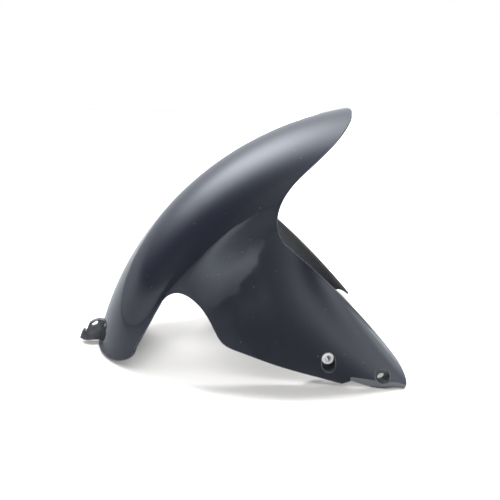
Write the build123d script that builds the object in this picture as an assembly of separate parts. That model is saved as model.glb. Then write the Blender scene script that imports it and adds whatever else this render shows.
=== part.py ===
from build123d import *
from math import cos, exp, radians, sin, sinh, tanh
import os

os.makedirs("parts", exist_ok=True)

# Front mudguard of a motorcycle, lying on a floor on its rear lip and its two flap tips.
# It is drawn around the wheel axle: X forward, Y across the wheel, Z up. At the end it is
# set down so that the floor is Z = 0 and the middle of the whole part is X = 0.

# Crown: an elliptical arch that is turned around the axle.
crown_radius = 315.5        # outer face above the axle, on the middle plane
crown_rise = 49.5           # from the shoulders up to the middle plane
body_half_width = 72.5      # outer face at the shoulders
wall = 3.0                  # thickness of the moulding

# Flaps: each runs down and forward from the shoulder and wraps a fork leg.
flap_slope = 45.3           # degrees below level, side view
flap_length = 187.5         # from the shoulder to the end of the front edge
front_edge_angle = 124.6    # where the front edge leaves the shoulder, round the axle
front_half_width = 80.0     # the front edge, which runs on the inner side of the leg
panel_half_width = 132.0    # the outer panel at its lower end
front_blend = 60.0          # length in which the front edge moves out from the shoulder
panel_sweep = 1.25          # 1 is a straight flare, more starts softer
wrap_top = 28.0             # softness of the wrap at the shoulder
wrap_end = 5.0              # softness of the wrap at the lower end

# Trimmed edge of the crown in the side view: degrees round the axle, and depth inside the crown.
front_angle = 99.95
beak_edge = [(102.97, 10.3), (109.29, 26.5), (115.09, 37.2), (119.88, 49.9)]
front_corner = (122.59, 65.1)
arch_edge = [(146.86, 69.3), (146.89, 45.7), (150.09, 37.1)]
tongue_edge = [(160.91, 33.0), (163.76, 29.5), (165.5, 19.1)]
lip_angle = 167.04

# Trimmed edge of a flap in the side view: down and back from the lower end of its front edge.
front_top = (-153.9, 0.3)
front_middle = (-94.7, -3.0)
nose_start = (3.5, 0.8)
nose_round = [(8.2, 3.6), (8.4, 10.2)]
toe = (5.2, 17.2)
foot = (-2.7, 26.7)
heel = (-28.3, 43.0)        # rear end of the raised lower edge behind the foot
step = (-31.8, 51.0)
lower_edge = [(-52.9, 65.5), (-81.9, 84.5), (-112.1, 100.9), (-128.1, 107.1), (-146.7, 102.7)]

# Fixing holes, one pair on each flap, all bored straight across the part.
upper_fixing = (-52.8, 46.5)
lower_fixing = (-12.5, 18.5)
pad_margin = 3.0            # plastic around a pocket
upper_pocket = (12.2, 17.2)  # width and height of the upright pocket
upper_seat_depth = 8.0      # from the outer face down to the seat, at the pocket's middle
upper_pad = 6.0             # plastic left under the seat
upper_bore = 9.0
bush_rise = 2.5             # the bush sits this far above the middle of its pocket
lower_pocket = 13.6
lower_seat_depth = 3.4
lower_pad = 5.5
lower_bore = 7.8
lower_bore_drop = 2.7       # the bore sits this far below the middle of its pocket

# Bevel along the raised lower edge of a flap, behind and in front of its foot.
heel_bevel = 3.4            # height of the bevel at three places
foot_bevel = 7.6
toe_bevel = 6.0
bevel_tilt = 5.0            # degrees, inward from upright

# Metal bush in each upper hole.
bush_bore = 6.5
bush_flange = 11.4
bush_flange_thickness = 4.6

# Hose clip on the crown, just above the rear lip, held by a push-in stud.
clip_angle = 164.4          # degrees round the axle from straight ahead
clip_width = 6.0
clip_round = 0.35
stud_diameter = 6.0
stud_offset = -5.5          # along the crown from the middle of the clip
stud_clearance = 0.1
stud_grip = 0.6             # from the inner face of the crown to the stud's head
stud_head = 9.0
stud_head_thickness = 2.0
stud_taper = 20.0

shoulder_radius = crown_radius - crown_rise
along = (cos(radians(flap_slope)), -sin(radians(flap_slope)))
across = (along[1], -along[0])
span = 2 * panel_half_width  # half length of the tool that trims the side view


def round_axle(angle, inset):
    """A place in the side view, by its angle round the axle and its depth inside the crown."""
    radius = crown_radius - inset
    return (radius * cos(radians(angle)), radius * sin(radians(angle)))


shoulder = round_axle(front_edge_angle, crown_rise)
flap_end = (shoulder[0] + flap_length * along[0], shoulder[1] + flap_length * along[1])


def on_flap(down, back):
    """A place in the side view, measured from the lower end of the flap's front edge."""
    x = flap_end[0] + down * along[0] + back * across[0]
    z = flap_end[1] + down * along[1] + back * across[1]
    return (x, z)


def smooth(share):
    share = min(max(share, 0.0), 1.0)
    return share * share * (3 - 2 * share)


def flap_half_width(x, z):
    """Half width of the outer face below the shoulder, at a place in the side view."""
    dx = x - flap_end[0]
    dz = z - flap_end[1]
    down = max(dx * along[0] + dz * along[1] + flap_length, 0.0)
    back = dx * across[0] + dz * across[1]
    share = down / flap_length
    front = body_half_width + (front_half_width - body_half_width) * smooth(down / front_blend)
    panel = body_half_width + (panel_half_width - body_half_width) * share**panel_sweep
    softness = wrap_top + (wrap_end - wrap_top) * min(share, 1.1)
    if back >= 0:
        wrapped = 1 - exp(-back / softness)
    else:
        wrapped = 0.3 * tanh(back / softness / 0.3)
    return front + (panel - front) * wrapped


def section(angle):
    """Points of the outer face from one lower edge over the crown to the other."""
    side = []
    for k in range(7):
        turn = radians(15 * k)
        radius = shoulder_radius + crown_rise * cos(turn)
        side.append((radius * cos(angle), body_half_width * sin(turn), radius * sin(angle)))
    x0 = shoulder_radius * cos(angle)
    z0 = shoulder_radius * sin(angle)
    for k in range(1, 11):
        reach = (flap_length + 22.5) * k / 10
        x = x0 + reach * along[0]
        z = z0 + reach * along[1]
        side.append((x, flap_half_width(x, z), z))
    near = [Vector(x, -y, z) for x, y, z in reversed(side)]
    return near + [Vector(x, y, z) for x, y, z in side[1:]]


def outer_face():
    """The whole outer surface, with its sections closest together at the flap's front edge."""
    curves = []
    for k in range(30):
        angle = front_edge_angle + 2 * sinh(-3.33 + 7.15 * k / 29)
        points = section(radians(angle))
        steps = [i / (len(points) - 1) for i in range(len(points))]
        curves.append(Wire([Edge.make_spline(points, parameters=steps)]))
    return Shell.make_loft(curves).face()


def side_outline():
    """Everything in the side view that stays, up to a frame well outside the crown."""
    top = crown_radius + 40
    tip = round_axle(front_angle, 0)
    lip = round_axle(lip_angle, -8)
    beak_points = [round_axle(*point) for point in beak_edge + [front_corner]]
    lower_points = [on_flap(*point) for point in lower_edge]
    arch_points = [round_axle(*point) for point in arch_edge]
    tongue_points = [round_axle(*point) for point in tongue_edge]
    front_start = on_flap(*front_top)
    nose_tip = on_flap(*nose_start)
    beak = Spline(tip, *beak_points, front_start)
    front = ThreePointArc(front_start, on_flap(*front_middle), nose_tip)
    sole = Polyline(*[on_flap(*point) for point in (toe, foot, heel, step)])
    nose_points = [on_flap(*point) for point in nose_round + [toe]]
    nose = Spline(nose_tip, *nose_points, tangents=(front % 1, sole % 0))
    lower = Spline(on_flap(*step), *lower_points, *arch_points)
    tongue_side = Line(arch_points[-1], tongue_points[0])
    tongue = Spline(*tongue_points, lip)
    frame = Polyline(lip, (-top, lip[1]), (-top, top), (tip[0], top), tip)
    return make_face(beak + front + nose + sole + lower + tongue_side + tongue + frame)


def crosswise(shape, place, start, end):
    """A prism across the near flap, from one half width out to another."""
    plane = Plane(origin=(place[0], -start, place[1]), x_dir=(1, 0, 0), z_dir=(0, -1, 0))
    return extrude(plane * shape, amount=end - start)


def both_sides(pieces):
    return pieces + [mirror(piece, about=Plane.XZ) for piece in pieces]


face = outer_face()
outline = extrude(Plane.XZ * side_outline(), amount=span, both=True)
shell = thicken(face & outline, -wall)


def flap_pad(shape, reach, place, seat, thickness):
    """Pad behind a pocket, ending inside the wall of the flap and at the flap's edge."""
    patch = face & crosswise(Circle(reach + 12), place, seat - 40, seat + 60)
    blank = crosswise(shape, place, seat - thickness, seat + 20)
    return (blank & outline) - thicken(patch, 60) - thicken(patch, -wall / 2)


def edge_bevel(start, start_height, end, end_height):
    """A block that bevels the outer lower edge of the near flap, from one place past another."""
    places = []
    for (x, z), height in ((start, start_height), (end, end_height)):
        top = z + height
        places.append(Vector(x, -flap_half_width(x, top), top))
    forward = (places[1] - places[0]).normalized()
    inward = Vector(0, sin(radians(bevel_tilt)), -cos(radians(bevel_tilt)))
    plane = Plane(origin=places[0], x_dir=forward, z_dir=inward.cross(forward))
    return plane * Box(flap_length / 4, 40, 30, align=(Align.MIN, Align.CENTER, Align.MIN))


# Fixing pads, pockets and bores.
upper_place = on_flap(*upper_fixing)
lower_place = on_flap(*lower_fixing)
upper_seat = flap_half_width(*upper_place) - upper_seat_depth
lower_seat = flap_half_width(*lower_place) - lower_seat_depth
bush_place = (upper_place[0], upper_place[1] + bush_rise)
bore_place = (lower_place[0], lower_place[1] - lower_bore_drop)
upper_slot = Rot(0, 0, 90) * SlotOverall(upper_pocket[1], upper_pocket[0])
upper_land = offset(upper_slot, pad_margin)
lower_round = Circle(lower_pocket / 2)
lower_land = Circle(lower_pocket / 2 + pad_margin)

pads = [
    flap_pad(upper_land, upper_pocket[1] / 2 + pad_margin, upper_place, upper_seat, upper_pad),
    flap_pad(lower_land, lower_pocket / 2 + pad_margin, lower_place, lower_seat, lower_pad),
]
cuts = [
    crosswise(upper_slot, upper_place, upper_seat, upper_seat + 60),
    crosswise(Circle(upper_bore / 2), bush_place, upper_seat - 30, upper_seat + 1),
    crosswise(lower_round, lower_place, lower_seat, lower_seat + 60),
    crosswise(Circle(lower_bore / 2), bore_place, lower_seat - 30, lower_seat + 1),
    edge_bevel(on_flap(*heel), heel_bevel, on_flap(*foot), foot_bevel),
    edge_bevel(on_flap(*foot), foot_bevel, on_flap(*toe), toe_bevel),
]

# Metal bushes, flush with the inner face of their pads.
bush = crosswise(Circle(upper_bore / 2), bush_place, upper_seat - upper_pad, upper_seat)
bush += crosswise(Circle(bush_flange / 2), bush_place, upper_seat, upper_seat + bush_flange_thickness)
bush -= crosswise(Circle(bush_bore / 2), bush_place, upper_seat - 30, upper_seat + 30)
bushes = Compound([piece.solid() for piece in both_sides([bush])])

# Hose clip: its side view is drawn on the middle plane, up the crown and out from it.
turn = radians(clip_angle)
clip_plane = Plane(
    origin=(crown_radius * cos(turn), 0, crown_radius * sin(turn)),
    x_dir=(sin(turn), 0, -cos(turn)),
    z_dir=(0, -1, 0),
)
clip_body = Polyline(
    (-13.2, -2.0),
    (9.0, -2.0),
    (9.0, 5.0),
    (5.0, 10.5),
    (1.6, 13.4),
    (-6.5, 14.2),
    (-6.8, 15.0),
    (-5.2, 17.0),
    (-8.0, 18.4),
    (-15.4, 18.9),
    (-16.9, 15.1),
    (-16.2, 9.9),
    (-13.2, 1.0),
    close=True,
)
clip_loop = Polyline((7.2, 6.2), (5.4, 4.6), (1.6, 5.6), (-0.8, 9.2), (0.2, 11.8), (1.4, 11.6), close=True)
clip_side = make_face(clip_body) - make_face(clip_loop)
clip_side = fillet(clip_side.vertices(), clip_round)
clip = extrude(clip_plane * clip_side, amount=clip_width / 2, both=True)
crown_patch = face & (clip_plane * Box(60, 60, 60))
clip -= thicken(crown_patch, -12)

# Its stud passes the wall and grips behind it.
stud_foot = clip_plane.from_local_coords((stud_offset, 0, 0))
stud_plane = Plane(stud_foot, x_dir=(0, 1, 0), z_dir=clip_plane.y_dir)
stud_length = wall + stud_grip + stud_head_thickness
stud_hole = extrude(stud_plane * Circle(stud_diameter / 2 + stud_clearance), amount=20, both=True)
clip += extrude(stud_plane * Pos(0, 0, 3) * Circle(stud_diameter / 2), amount=-3 - stud_length)
head_plane = stud_plane * Pos(0, 0, -wall - stud_grip)
clip += extrude(head_plane * Circle(stud_head / 2), amount=-stud_head_thickness, taper=stud_taper)

# The moulding in one piece.
mudguard = shell + both_sides(pads)
mudguard -= both_sides(cuts) + [stud_hole]

# Set it down on the floor.
whole = Compound([mudguard.solid(), *bushes.solids(), clip.solid()])
limits = Compound(whole.edges()).bounding_box()
set_down = Pos(-limits.center().X, 0, -limits.min.Z)
export_step(set_down * mudguard, "parts/mudguard.step")
export_step(set_down * bushes, "parts/fixing_bushes.step")
export_step(set_down * clip, "parts/hose_clip.step")
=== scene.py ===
import bpy, math
from mathutils import Matrix, Vector

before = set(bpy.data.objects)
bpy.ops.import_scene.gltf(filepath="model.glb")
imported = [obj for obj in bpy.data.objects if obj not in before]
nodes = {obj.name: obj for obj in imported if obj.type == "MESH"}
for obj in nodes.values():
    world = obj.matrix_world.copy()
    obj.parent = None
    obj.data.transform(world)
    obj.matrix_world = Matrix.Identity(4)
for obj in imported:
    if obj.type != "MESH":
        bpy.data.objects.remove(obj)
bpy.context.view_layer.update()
scene = bpy.context.scene
scene.view_settings.view_transform = "Standard"

# Metres in the row frame: x to the front, y to the far side, z up from the floor
AXLE = Vector((0.17091, 0.0, -0.07003))
LAMP_AIM = Vector((0, 0, 0.05))

# Cool tint of the lamps and the surroundings
STUDIO_TINT = (0.94, 1.0, 1.07)

# The flats low on the flap ends: this far forward, this low, and facing outwards
SOLE_MIN_X = 0.1
SOLE_MAX_Z = 0.0055
SOLE_MIN_SIDEWAYS = 0.9


# Node helpers

def bare_material(name):
    m = bpy.data.materials.new(name)
    m.use_nodes = True
    n, l = m.node_tree.nodes, m.node_tree.links
    n.clear()
    return m, n, l, n.new("ShaderNodeOutputMaterial")


def new_material(name):
    m, n, l, out = bare_material(name)
    bsdf = n.new("ShaderNodeBsdfPrincipled")
    l.new(bsdf.outputs[0], out.inputs[0])
    return m, n, l, bsdf


def noise(n, l, co, scale, detail=2.0):
    t = n.new("ShaderNodeTexNoise")
    t.inputs["Scale"].default_value = scale
    t.inputs["Detail"].default_value = detail
    l.new(co.outputs["Object"], t.inputs["Vector"])
    return t.outputs["Fac"]


def ramp(n, l, value, stops):
    r = n.new("ShaderNodeValToRGB")
    while len(r.color_ramp.elements) < len(stops):
        r.color_ramp.elements.new(0.5)
    for e, (pos, color) in zip(r.color_ramp.elements, stops):
        e.position = pos
        e.color = (*color, 1)
    l.new(value, r.inputs["Fac"])
    return r.outputs["Color"]


def spread(n, l, value, low, high, start=0.1, end=0.9, blend="LINEAR"):
    """Low at the start of a value's range, high at its end."""
    r = n.new("ShaderNodeMapRange")
    r.interpolation_type = blend
    for name, v in (("From Min", start), ("From Max", end), ("To Min", low), ("To Max", high)):
        r.inputs[name].default_value = v
    l.new(value, r.inputs["Value"])
    return r.outputs["Result"]


def calc(n, l, op, a, b):
    x = n.new("ShaderNodeMath")
    x.operation = op
    for socket, v in zip(x.inputs, (a, b)):
        if isinstance(v, (int, float)):
            socket.default_value = v
        else:
            l.new(v, socket)
    return x.outputs[0]


def lay_over(n, l, factor, color, over):
    """Lay a plain colour over another by a factor."""
    mix = n.new("ShaderNodeMix")
    mix.data_type = "RGBA"
    l.new(factor, mix.inputs["Factor"])
    l.new(color, mix.inputs["A"])
    mix.inputs["B"].default_value = (*over, 1)
    return mix.outputs["Result"]


def rounded(n, radius):
    """The normal of a surface whose sharp edges are rounded."""
    bevel = n.new("ShaderNodeBevel")
    bevel.inputs["Radius"].default_value = radius
    return bevel.outputs["Normal"]


def bumps(n, l, b, height, strength, distance, edge=0.0):
    node = n.new("ShaderNodeBump")
    if edge:
        l.new(rounded(n, edge), node.inputs["Normal"])
    node.inputs["Strength"].default_value = strength
    node.inputs["Distance"].default_value = distance
    l.new(height, node.inputs["Height"])
    l.new(node.outputs["Normal"], b.inputs["Normal"])


def painted_edge_highlight(n, l, color, pale, reach):
    """Lay a pale line along the sharp edges over a colour: a painted highlight, the glint of the
    edges.
    """
    face = n.new("ShaderNodeNewGeometry")
    agree = n.new("ShaderNodeVectorMath")
    agree.operation = "DOT_PRODUCT"
    l.new(rounded(n, reach), agree.inputs[0])
    l.new(face.outputs["Normal"], agree.inputs[1])
    near_edge = spread(n, l, agree.outputs["Value"], 1.0, 0.0, 0.86, 0.97)
    return lay_over(n, l, near_edge, color, pale)


def shown(n, l):
    """1 for what the camera sees, also through a clear piece."""
    path = n.new("ShaderNodeLightPath")
    return calc(n, l, "MAXIMUM", path.outputs["Is Camera Ray"], path.outputs["Is Transmission Ray"])


# Materials of the object

def gloss_black():
    m, n, l, b = new_material("gloss_black_moulding")
    b.inputs["Specular IOR Level"].default_value = 0.9
    b.inputs["Coat Weight"].default_value = 0.6
    b.inputs["Coat Roughness"].default_value = 0.02
    co = n.new("ShaderNodeTexCoord")
    cloud = noise(n, l, co, 9.0, 3.0)
    fine = noise(n, l, co, 420.0)
    dust = ramp(n, l, noise(n, l, co, 330.0, 1.0), [(0.775, (0, 0, 0)), (0.80, (1, 1, 1))])
    clean = ramp(n, l, cloud, [(0.1, (0.0112, 0.0126, 0.0295)), (0.9, (0.0150, 0.0166, 0.0338))])
    dusty = lay_over(n, l, dust, clean, (0.20, 0.20, 0.205))
    # A pale line along the sharp edges: a painted highlight standing in for their glint
    l.new(painted_edge_highlight(n, l, dusty, (0.55, 0.55, 0.56), 0.0012), b.inputs["Base Color"])
    l.new(spread(n, l, cloud, 0.06, 0.12), b.inputs["Roughness"])
    bumps(n, l, b, fine, 0.01, 0.0003, 0.0013)
    return m


def matt_inside_painted_light():
    m, n, l, b = new_material("matt_inside_painted_bounce_light")
    b.inputs["Specular IOR Level"].default_value = 0.35
    co = n.new("ShaderNodeTexCoord")
    cloud = noise(n, l, co, 14.0, 4.0)
    grain = noise(n, l, co, 900.0, 3.0)
    # The matt inner face's grey, made lighter than the moulding's own as painted bounce light
    color = ramp(n, l, cloud, [(0.1, (0.225, 0.225, 0.232)), (0.9, (0.265, 0.265, 0.273))])
    l.new(color, b.inputs["Base Color"])
    l.new(spread(n, l, grain, 0.62, 0.78), b.inputs["Roughness"])
    bumps(n, l, b, grain, 0.15, 0.0003)
    return m


def cut_edge(name, low, high):
    m, n, l, b = new_material(name)
    b.inputs["Specular IOR Level"].default_value = 0.8
    co = n.new("ShaderNodeTexCoord")
    cloud = noise(n, l, co, 40.0, 4.0)
    grain = noise(n, l, co, 1200.0, 2.0)
    l.new(ramp(n, l, cloud, [(0.1, low), (0.9, high)]), b.inputs["Base Color"])
    l.new(spread(n, l, cloud, 0.30, 0.45), b.inputs["Roughness"])
    bumps(n, l, b, grain, 0.08, 0.0002, 0.001)
    return m


def plated_steel():
    m, n, l, b = new_material("plated_steel")
    b.inputs["Metallic"].default_value = 0.8
    co = n.new("ShaderNodeTexCoord")
    cloud = noise(n, l, co, 160.0, 4.0)
    grain = noise(n, l, co, 700.0)
    color = ramp(n, l, cloud, [(0.3, (0.78, 0.78, 0.76)), (0.7, (0.93, 0.93, 0.92))])
    l.new(color, b.inputs["Base Color"])
    l.new(spread(n, l, cloud, 0.18, 0.34), b.inputs["Roughness"])
    bumps(n, l, b, grain, 0.08, 0.0002)
    return m


def clip_plastic():
    m, n, l, b = new_material("clip_plastic")
    co = n.new("ShaderNodeTexCoord")
    cloud = noise(n, l, co, 120.0, 4.0)
    grain = noise(n, l, co, 1500.0, 2.0)
    color = ramp(n, l, cloud, [(0.3, (0.10, 0.10, 0.102)), (0.7, (0.27, 0.27, 0.272))])
    l.new(color, b.inputs["Base Color"])
    l.new(spread(n, l, cloud, 0.26, 0.42), b.inputs["Roughness"])
    bumps(n, l, b, grain, 0.12, 0.0002, 0.0005)
    return m


# Dressing the CAD nodes

def dress(node, *materials):
    mesh = nodes[node].data
    mesh.materials.clear()
    for m in materials:
        mesh.materials.append(m)
    return mesh


def islands(mesh):
    """Faces of the mesh, grouped where they share corners."""
    group = list(range(len(mesh.vertices)))

    def root(v):
        while group[v] != v:
            group[v] = group[group[v]]
            v = group[v]
        return v

    for p in mesh.polygons:
        first = root(p.vertices[0])
        for v in p.vertices[1:]:
            group[root(v)] = first
    found = {}
    for p in mesh.polygons:
        found.setdefault(root(p.vertices[0]), []).append(p)
    return list(found.values())


def is_sole(group):
    """Whether a group of faces is one of the flats low on the flap ends, which take a pale grey as
    painted bounce light from the floor.
    """
    middle = sum((p.center * p.area for p in group), Vector()) / sum(p.area for p in group)
    facing = sum((p.normal * p.area for p in group), Vector()).normalized()
    return middle.x > SOLE_MIN_X and middle.z < SOLE_MAX_Z and abs(facing.y) > SOLE_MIN_SIDEWAYS


OUTSIDE, INSIDE, RIM, SOLE = range(4)
guard = dress(
    "mudguard", gloss_black(), matt_inside_painted_light(),
    cut_edge("rim_moulding", (0.060, 0.061, 0.065), (0.100, 0.101, 0.105)),
    # The soles' pale grey is painted light: the floor's bounce light on these flats
    cut_edge("sole_painted_bounce_light", (0.33, 0.33, 0.335), (0.44, 0.44, 0.445)))
# The two largest faces are the outside and the inside; the rest are rims, pads, bores and soles
by_area = sorted(islands(guard), key=lambda g: -sum(p.area for p in g))
for index, group in enumerate(by_area):
    slot = index if index <= INSIDE else SOLE if is_sole(group) else RIM
    for p in group:
        p.material_index = slot
dress("fixing_bushes", plated_steel())
dress("hose_clip", clip_plastic())


# Floor: pale, and lifted to white for the camera, with the shadow kept; all other rays see a dark
# grey copy of it, which is painted shade

ground = bpy.data.meshes.new("floor")
ground.from_pydata([(-6, -6, 0), (6, -6, 0), (6, 2.1, 0), (-6, 2.1, 0)], [], [(0, 1, 2, 3)])
floor = bpy.data.objects.new("floor", ground)
scene.collection.objects.link(floor)
m, n, l, out = bare_material("pale_floor")
# Dark grey for reflections and bounce light: painted shade on the floor
shaded_floor_copy = n.new("ShaderNodeBsdfPrincipled")
shaded_floor_copy.inputs["Base Color"].default_value = (0.22, 0.22, 0.218, 1)
shaded_floor_copy.inputs["Roughness"].default_value = 0.8
shaded_floor_copy.inputs["Specular IOR Level"].default_value = 0.2
seen = n.new("ShaderNodeBsdfDiffuse")
seen.inputs["Color"].default_value = (0.84, 0.785, 0.725, 1)
pick = n.new("ShaderNodeMixShader")
l.new(shown(n, l), pick.inputs[0])
l.new(shaded_floor_copy.outputs[0], pick.inputs[1])
l.new(seen.outputs[0], pick.inputs[2])
l.new(pick.outputs[0], out.inputs[0])
ground.materials.append(m)


# A glowing sheet in front, lying on the floor and turned up at its far end, and a small patch
# by the near bush; both show only as reflections. Its white and grey bands are painted light
# and painted shade in those reflections.

FAR_Y = -3.0
NEAR_Y = -0.3
FAR_END = [  # x and z round the turned-up end
    (-0.78, 0.003), (-0.725, 0.085), (-0.685, 0.105), (-0.61, 0.150), (-0.57, 0.165), (-0.48, 0.205),
    (-0.42, 0.205), (-0.36, 0.180), (-0.30, 0.155), (-0.15, 0.12), (0.0, 0.08), (0.0, 0.003)]
NEAR_END = [(-0.078, NEAR_Y, 0.003), (0.0, NEAR_Y, 0.003)]
PATCH = [(0.03, -0.28, 0.001), (0.16, -0.28, 0.001), (0.16, -0.14, 0.001), (0.03, -0.14, 0.001)]
SHEET_SHADES = [  # from its right side to its left
    (0.0, (1.0, 1.0, 1.0)), (0.15, (0.42, 0.44, 0.46)), (0.27, (0.42, 0.44, 0.46)),
    (0.35, (0.48, 0.51, 0.54)), (0.46, (0.74, 0.81, 0.87)), (0.54, (0.92, 1.0, 1.08)),
    (0.62, (1.02, 1.11, 1.19)), (0.708, (0.86, 0.94, 1.0)), (0.81, (0.66, 0.72, 0.78)),
    (0.927, (0.49, 0.53, 0.56)), (1.0, (0.42, 0.44, 0.46))]

sheet = bpy.data.meshes.new("glowing_reflection_sheet")
sheet.from_pydata(
    [(x, FAR_Y, z) for x, z in FAR_END] + NEAR_END + PATCH, [],
    [tuple(range(12)), (12, 13, 11, 0), (14, 15, 16, 17)])
card = bpy.data.objects.new("glowing_reflection_sheet", sheet)
scene.collection.objects.link(card)
card.visible_camera = False
card.visible_diffuse = False
card.visible_shadow = False
m, n, l, out = bare_material("glowing_reflection_sheet")
glow = n.new("ShaderNodeEmission")
glow.inputs["Strength"].default_value = 1.0
l.new(glow.outputs[0], out.inputs[0])
co = n.new("ShaderNodeTexCoord")
apart = n.new("ShaderNodeSeparateXYZ")
l.new(co.outputs["Object"], apart.inputs[0])
turn = calc(n, l, "DIVIDE", apart.outputs["X"], apart.outputs["Y"])
across = spread(n, l, turn, 0.0, 1.0, -0.1, 0.27)
# The sheet's glow: bands of painted light and painted shade
l.new(ramp(n, l, across, SHEET_SHADES), glow.inputs["Color"])
sheet.materials.append(m)


# Lamps: a high one behind, a low one through the side arches and one from the far front

def lamp(name, place, size, power):
    data = bpy.data.lights.new(name, "AREA")
    data.shape = "DISK"
    data.size = size
    data.energy = power
    data.color = STUDIO_TINT
    o = bpy.data.objects.new(name, data)
    scene.collection.objects.link(o)
    o.location = place
    o.rotation_euler = (LAMP_AIM - o.location).to_track_quat("-Z", "Y").to_euler()
    o.visible_glossy = False
    o.visible_camera = False
    return o


lamp("high_lamp", (-0.1, 0.72, 2.0), 0.25, 20.0)
low_lamp = lamp("low_lamp", (-0.16, 2.15, 1.0), 1.3, 95.0)
front_lamp = lamp("front_lamp", (1.36, 1.16, 1.42), 0.6, 42.0)
# The last two light the floor alone
floor_alone = bpy.data.collections.new("floor_alone")
floor_alone.objects.link(floor)
low_lamp.light_linking.receiver_collection = floor_alone
front_lamp.light_linking.receiver_collection = floor_alone


# Surroundings: soft light by direction, and white behind for the camera

# Azimuth from the near side towards the front, elevation, narrowness and amount
SOFT_LIGHTS = [
    (-141, 51, 14, 3.0), (137, 76, 3.7, 1.20), (-150, 68, 10, 0.2), (-141, 36, 60, 0.42),
    (-110, 76, 20, 0.45), (9, 35.5, 11, 0.58), (50, 47, 16, 0.30), (10, 7, 30, 0.26),
    (-62, 4, 16, 0.13), (180, 10, 4, 0.50), (86, 13, 9, 0.62), (131, 9, 24, 0.33)]
ALL_ROUND = 0.15
WALL = 0.34

world = bpy.data.worlds.new("studio")
scene.world = world
world.use_nodes = True
n, l = world.node_tree.nodes, world.node_tree.links
n.clear()
out = n.new("ShaderNodeOutputWorld")
lit = n.new("ShaderNodeBackground")
seen = n.new("ShaderNodeBackground")
pick = n.new("ShaderNodeMixShader")
l.new(shown(n, l), pick.inputs[0])
l.new(lit.outputs[0], pick.inputs[1])
l.new(seen.outputs[0], pick.inputs[2])
l.new(pick.outputs[0], out.inputs[0])
lit.inputs["Color"].default_value = (*STUDIO_TINT, 1)
seen.inputs["Color"].default_value = (1, 1, 1, 1)
co = n.new("ShaderNodeTexCoord")


def direction(az, el):
    a, e = math.radians(az), math.radians(el)
    return (math.cos(e) * math.sin(a), -math.cos(e) * math.cos(a), math.sin(e))


def lobe(az, el, narrowness, amount):
    dot = n.new("ShaderNodeVectorMath")
    dot.operation = "DOT_PRODUCT"
    dot.inputs[1].default_value = direction(az, el)
    l.new(co.outputs["Generated"], dot.inputs[0])
    ahead = calc(n, l, "MAXIMUM", dot.outputs["Value"], 0.0)
    return calc(n, l, "MULTIPLY", calc(n, l, "POWER", ahead, narrowness), amount)


def rise(value, start, end):
    return spread(n, l, value, 0.0, 1.0, start, end, "SMOOTHSTEP")


# A pale wall low on the left, with a clear edge on its right
parts = n.new("ShaderNodeSeparateXYZ")
l.new(co.outputs["Generated"], parts.inputs[0])
azimuth = calc(n, l, "ARCTAN2", parts.outputs["X"], calc(n, l, "MULTIPLY", parts.outputs["Y"], -1.0))
left = rise(azimuth, math.radians(-44), math.radians(-50))
far = rise(azimuth, math.radians(-150), math.radians(-112))
low = rise(parts.outputs["Z"], math.sin(math.radians(14)), math.sin(math.radians(6)))
wall = calc(n, l, "MULTIPLY", calc(n, l, "MULTIPLY", left, far), calc(n, l, "MULTIPLY", low, WALL))

total = lobe(*SOFT_LIGHTS[0])
for light in SOFT_LIGHTS[1:]:
    total = calc(n, l, "ADD", total, lobe(*light))
total = calc(n, l, "ADD", total, wall)
total = calc(n, l, "ADD", total, ALL_ROUND)
l.new(total, lit.inputs["Strength"])


# Camera, fitted to the photo

IMAGE_WIDTH = 500.0     # pixels
FOCAL_LENGTH = 700.546  # pixels
SENSOR_WIDTH = 36.0     # millimetres

cam_data = bpy.data.cameras.new("photo_camera")
cam = bpy.data.objects.new("photo_camera", cam_data)
scene.collection.objects.link(cam)
scene.camera = cam
cam_data.sensor_fit = "HORIZONTAL"
cam_data.sensor_width = SENSOR_WIDTH
cam_data.lens = SENSOR_WIDTH * FOCAL_LENGTH / IMAGE_WIDTH
cam_data.clip_start = 0.01
right = Vector((0.9919784, -0.1246699, 0.0208847))
up = Vector((0.0174805, 0.2989233, 0.9541170))
ahead = Vector((0.1251926, 0.9460985, -0.2987047))
place = Vector((-0.2408188, -0.6842129, 0.3819830)) + AXLE
cam.matrix_world = Matrix((
    (right.x, up.x, -ahead.x, place.x),
    (right.y, up.y, -ahead.y, place.y),
    (right.z, up.z, -ahead.z, place.z),
    (0, 0, 0, 1),
))
